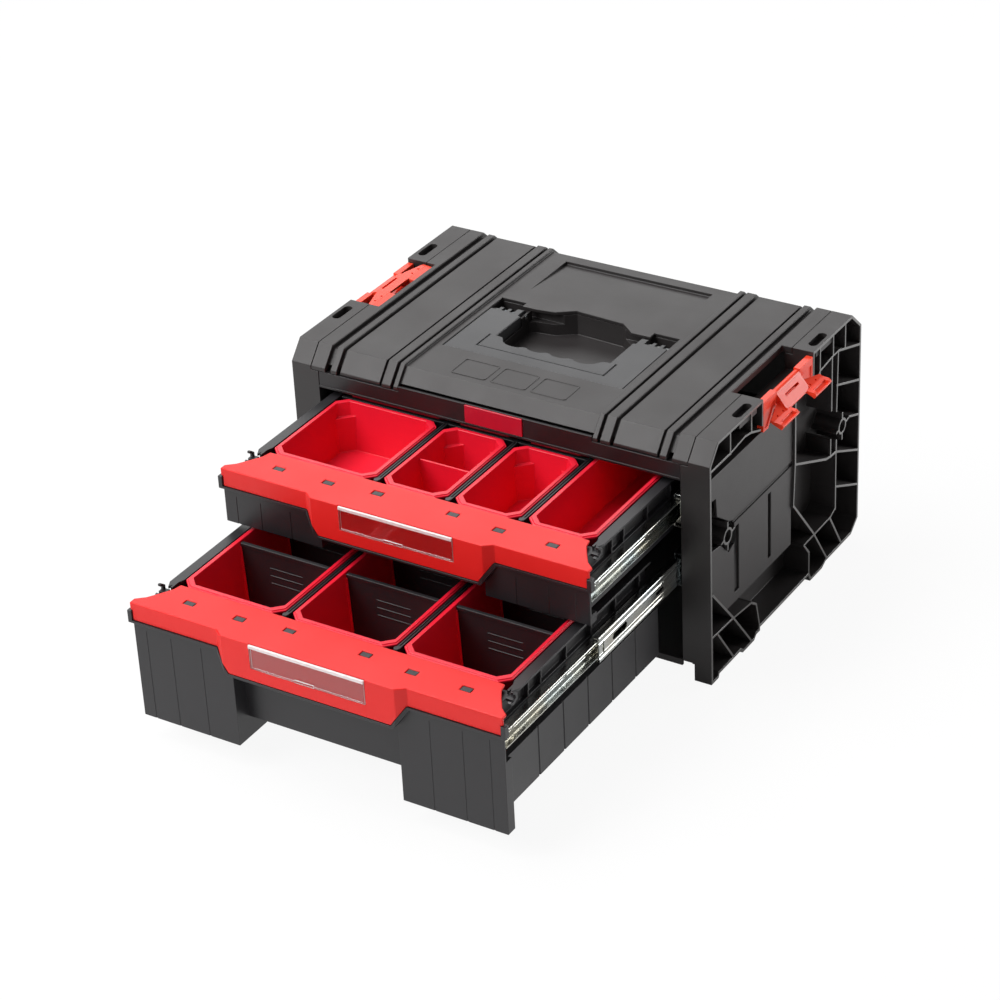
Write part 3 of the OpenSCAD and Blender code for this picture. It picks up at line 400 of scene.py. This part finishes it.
rail_black = moulded_plastic("rail_plastic", (0.012, 0.010, 0.011), 0.42, grain=0.06)
rounded("front_rail", "cabinet", rail_black, 0.0004)
plate_red = moulded_plastic("plate_plastic", (0.52, 0.012, 0.035), 0.3, grain=0.04,
                            grain_scale=2200, mottle=0.06)
rounded("badge_plate", "cabinet", plate_red, 0.0005, segments=3)


# ---------------------------------------------------------------- side latches
# H-shaped flaps in bright glossy plastic on steel pins. The left one is folded in, the right one
# is swung out and hangs over the side.

latch_red = moulded_plastic("latch_plastic", (0.84, 0.050, 0.018), 0.3, grain=0.04,
                            grain_scale=2200, mottle=0.06, shine=0.34)
for side in ("right", "left"):
    rounded("latch_base_" + side, "cabinet", latch_red, 0.0005)
for side in ("right", "left"):
    rounded("latch_flap_" + side, "latch_" + side, latch_red, 0.0006, segments=3)
rounded("latch_pins", "cabinet", bright_zinc, 0.0002)


# ---------------------------------------------------------------- slides
# Three-part ball-bearing slides: outer member on the side panel, middle member, inner member on
# the drawer. Each is rolled from strip with beads along it, punched and zinc plated; the balls
# run in nylon cages.

def rolled_strip(outline, side, reach, start, end, thick, bend):
    """One strip rolled to an open channel from start to end along y. outline goes from lip to
    lip: distance in from the outermost face, and height. Returns a bmesh."""
    bead_radius = 0.0002
    sharpest_bead = 1.2  # radians; what folds further is a bend
    inside_the_channel = 0.004
    strip = bmesh.new()
    corners = [strip.verts.new((side * (reach - inset), start, height))
               for inset, height in outline]
    spine = [strip.edges.new(pair) for pair in zip(corners, corners[1:])]
    swept = bmesh.ops.extrude_edge_only(strip, edges=spine)["geom"]
    far = [v for v in swept if isinstance(v, bmesh.types.BMVert)]
    bmesh.ops.translate(strip, verts=far, vec=(0, end - start, 0))
    bmesh.ops.recalc_face_normals(strip, faces=strip.faces)
    folds = [e for e in strip.edges if len(e.link_faces) == 2]
    bends = [e for e in folds if e.calc_face_angle() > sharpest_bead]
    beads = [e for e in folds if e.calc_face_angle() <= sharpest_bead]
    for edges, radius, steps in ((bends, bend, 5), (beads, bead_radius, 2)):
        bmesh.ops.bevel(strip, geom=edges, offset=radius, offset_type="OFFSET",
                        segments=steps, profile=0.5, affect="EDGES", material=-1)
    # the strip gets its thickness towards the inside of the channel
    heart = Vector((side * (reach - inside_the_channel), 0, 0))
    if sum(face.calc_area() * face.normal.dot(face.calc_center_median() - heart)
           for face in strip.faces) < 0:
        bmesh.ops.reverse_faces(strip, faces=strip.faces)
    bmesh.ops.solidify(strip, geom=strip.faces[:], thickness=thick)
    return strip


def slot_punch(slots, webs, start, height):
    """Slot-shaped prisms through the webs. A slot is its distance from the start, its length
    and its height."""
    half_depth = 0.002
    upright = Matrix(((0, 0, 1, 0), (1, 0, 0, 0), (0, 1, 0, 0), (0, 0, 0, 1)))
    punch = bmesh.new()
    for web in webs:
        for along, long, tall in slots:
            disc = bmesh.ops.create_circle(punch, cap_ends=True, segments=18,
                                           radius=min(long, tall) / 2, matrix=upright)["verts"]
            for vert in disc:
                vert.co.y += math.copysign(max(0, long - tall) / 2, vert.co.y)
                vert.co.z += math.copysign(max(0, tall - long) / 2, vert.co.z)
            bmesh.ops.translate(punch, verts=disc, vec=(web - half_depth, start + along, height))
            grown = bmesh.ops.extrude_face_region(punch, geom=disc[0].link_faces[:])["geom"]
            grown_verts = [v for v in grown if isinstance(v, bmesh.types.BMVert)]
            bmesh.ops.translate(punch, verts=grown_verts, vec=(2 * half_depth, 0, 0))
    bmesh.ops.recalc_face_normals(punch, faces=punch.faces)
    mesh = bpy.data.meshes.new("punch")
    punch.to_mesh(mesh)
    punch.free()
    tool = bpy.data.objects.new("punch", mesh)
    bpy.context.collection.objects.link(tool)
    return tool


def rolled_member(node, body, outline, thick, bend, slots):
    """The right and the left member of a pair, rolled from strip and punched."""
    crease = math.radians(40)
    low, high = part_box(node)
    middle = (low + high) / 2
    reach = (high.x - low.x) / 2
    member = bmesh.new()
    for side in (-1, 1):
        strip = rolled_strip(outline, side, reach, low.y, high.y, thick, bend)
        bmesh.ops.translate(strip, verts=strip.verts, vec=(middle.x, 0, middle.z))
        half = bpy.data.meshes.new("strip")
        strip.to_mesh(half)
        strip.free()
        member.from_mesh(half)
        bpy.data.meshes.remove(half)
    mesh = bpy.data.meshes.new(node + "_rolled")
    member.to_mesh(mesh)
    member.free()
    mesh.materials.append(bright_zinc)
    piece = bpy.data.objects.new(node + "_rolled", mesh)
    bpy.context.collection.objects.link(piece)

    web_inset = outline[len(outline) // 2][0]
    webs = [middle.x + side * (reach - web_inset) for side in (-1, 1)]
    tool = slot_punch(slots, webs, low.y, middle.z)
    cut = piece.modifiers.new("punched", "BOOLEAN")
    cut.object = tool
    cut.solver = "EXACT"
    cut.use_self = True  # without it, pieces of the punch are left beside the member
    bpy.context.view_layer.update()
    done = bpy.data.meshes.new_from_object(
        piece.evaluated_get(bpy.context.evaluated_depsgraph_get()))
    piece.modifiers.remove(cut)
    piece.data = done
    tool_mesh = tool.data
    bpy.data.objects.remove(tool)
    bpy.data.meshes.remove(tool_mesh)
    done.shade_smooth()
    done.set_sharp_from_angle(angle=crease)
    flat = piece.modifiers.new("flat_faces", "WEIGHTED_NORMAL")
    flat.weight = 80
    flat.keep_sharp = True
    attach(piece, body)
    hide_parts(node)


def mirrored(outline):
    """The upper half of a section, carried on to its lower half."""
    return outline + [(inset, -height) for inset, height in reversed(outline)]


middle_outline = mirrored([(0.0078, 0.01005), (0.0078, 0.01325), (0, 0.01325), (0, 0.0096),
                           (0.0006, 0.0088), (0.0006, 0.0068), (0, 0.006), (0, 0.0049),
                           (0.0003, 0.0045)])
inner_outline = mirrored([(0, 0.0076), (0, 0.009), (0.0086, 0.009), (0.0086, 0.0056),
                          (0.0082, 0.0051), (0.0082, 0.0041), (0.0086, 0.0036)])
# an upright slot by the end, a long one, and three short ones
middle_slots = [(0.0075, 0.0026, 0.013), (0.037, 0.026, 0.007)]
middle_slots += [(along, 0.014, 0.004) for along in (0.110, 0.170, 0.230)]
inner_slots = [(along, 0.014, 0.0044)
               for along in (0.020, 0.036, 0.072, 0.108, 0.144, 0.180, 0.216)]
for level in ("upper", "lower"):
    rounded(level + "_slide_outer", "cabinet", bright_zinc, 0.0003)
    rolled_member(level + "_slide_mid", level + "_slides", middle_outline,
                  thick=0.0011, bend=0.0014, slots=middle_slots)
    rolled_member(level + "_slide_inner", level + "_drawer", inner_outline,
                  thick=0.0012, bend=0.0008, slots=inner_slots)
    nodes[level + "_cages"].data.materials.clear()
    nodes[level + "_cages"].data.materials.append(
        moulded_plastic(level + "_nylon", (0.72, 0.7, 0.63), 0.45, grain=0.03))
rounded("slide_screws", "cabinet", bright_zinc, 0.0002)


# ---------------------------------------------------------------- drawers
# Black trays with deep front legs, each closed at the front by a red cap that snaps over six
# tongues. Hooked catches stand at the front corners and bars part the bins.

tray_black = moulded_plastic("tray_plastic", (0.016, 0.015, 0.017), 0.4, grain=0.07)
signal_red = moulded_plastic("red_plastic", (0.74, 0.018, 0.016), 0.38, grain=0.05,
                             grain_scale=2200, mottle=0.06, shine=0.26)
for level in ("upper", "lower"):
    drawer = level + "_drawer"
    rounded(level + "_tray", drawer, tray_black, 0.0004)
    rounded(level + "_catches", drawer, tray_black, 0.0005)
    rounded(level + "_separators", drawer, tray_black, 0.0004)
    rounded(level + "_cap", drawer, signal_red, 0.0012, segments=4)
    rounded(level + "_drawer_screws", drawer, bright_zinc, 0.0002)


# ---------------------------------------------------------------- label windows
# Polished clear holders, clipped into the front of each cap, with a thick upper edge.

def clear_plastic(name, transmission):
    """An empty material of clear plastic, with its tree and shader."""
    material = bpy.data.materials.new(name)
    material.use_nodes = True
    tree = material.node_tree
    shader = tree.nodes["Principled BSDF"]
    shader.inputs["Transmission Weight"].default_value = transmission
    shader.inputs["IOR"].default_value = 1.49
    return material, tree, shader


clear, tree, shader = clear_plastic("clear_plastic", 1)
shader.inputs["Base Color"].default_value = (0.96, 0.93, 0.93, 1)
haze = own_noise(tree, 180)
tree.links.new(graded(tree, haze.outputs["Fac"], 0.03, 0.12), shader.inputs["Roughness"])

# a pale, cloudy, mostly opaque plastic for the window edges: painted highlight
painted_edge_highlight, tree, shader = clear_plastic("clear_plastic_painted_edge_highlight", 0.2)
cloudy = own_noise(tree, 240).outputs["Fac"]
tree.links.new(blended(tree, cloudy, (0.80, 0.66, 0.66), (1.0, 0.97, 0.97)),
               shader.inputs["Base Color"])
tree.links.new(graded(tree, cloudy, 0.08, 0.2), shader.inputs["Roughness"])

thick_edge = 0.003
for level in ("upper", "lower"):
    window = rounded(level + "_label_window", level + "_drawer", clear, 0.0003)
    top = max(vert.co.z for vert in window.data.vertices)
    # the edges, most of all the thick upper one, get a paler, less clear finish: a painted
    # highlight for the light that edges of clear plastic gather
    second_material(window, painted_edge_highlight, lambda face: abs(face.normal.y) < 0.9
                    or face.center.z > top - thick_edge)


# ---------------------------------------------------------------- bins
# Thin-walled red bins with drafted sides and cut corners lift out of the trays. The lower three
# have black cross plates in slots.

bin_red = moulded_plastic("bin_plastic", (0.76, 0.010, 0.032), 0.36, grain=0.05,
                          grain_scale=2200, mottle=0.06, shine=0.42)
upper_bins = ("upper_bin_wide", "upper_bin_split", "upper_bin_third", "upper_bin_fourth",
              "upper_back_bin_wide", "upper_back_bins")
lower_bins = ("lower_bin_left", "lower_bin_middle", "lower_bin_right")
for drawer, bins in (("upper_drawer", upper_bins), ("lower_drawer", lower_bins)):
    for node in bins:
        rounded(node, drawer, bin_red, 0.0006, segments=3)
rounded("lower_dividers", "lower_drawer", tray_black, 0.0004)
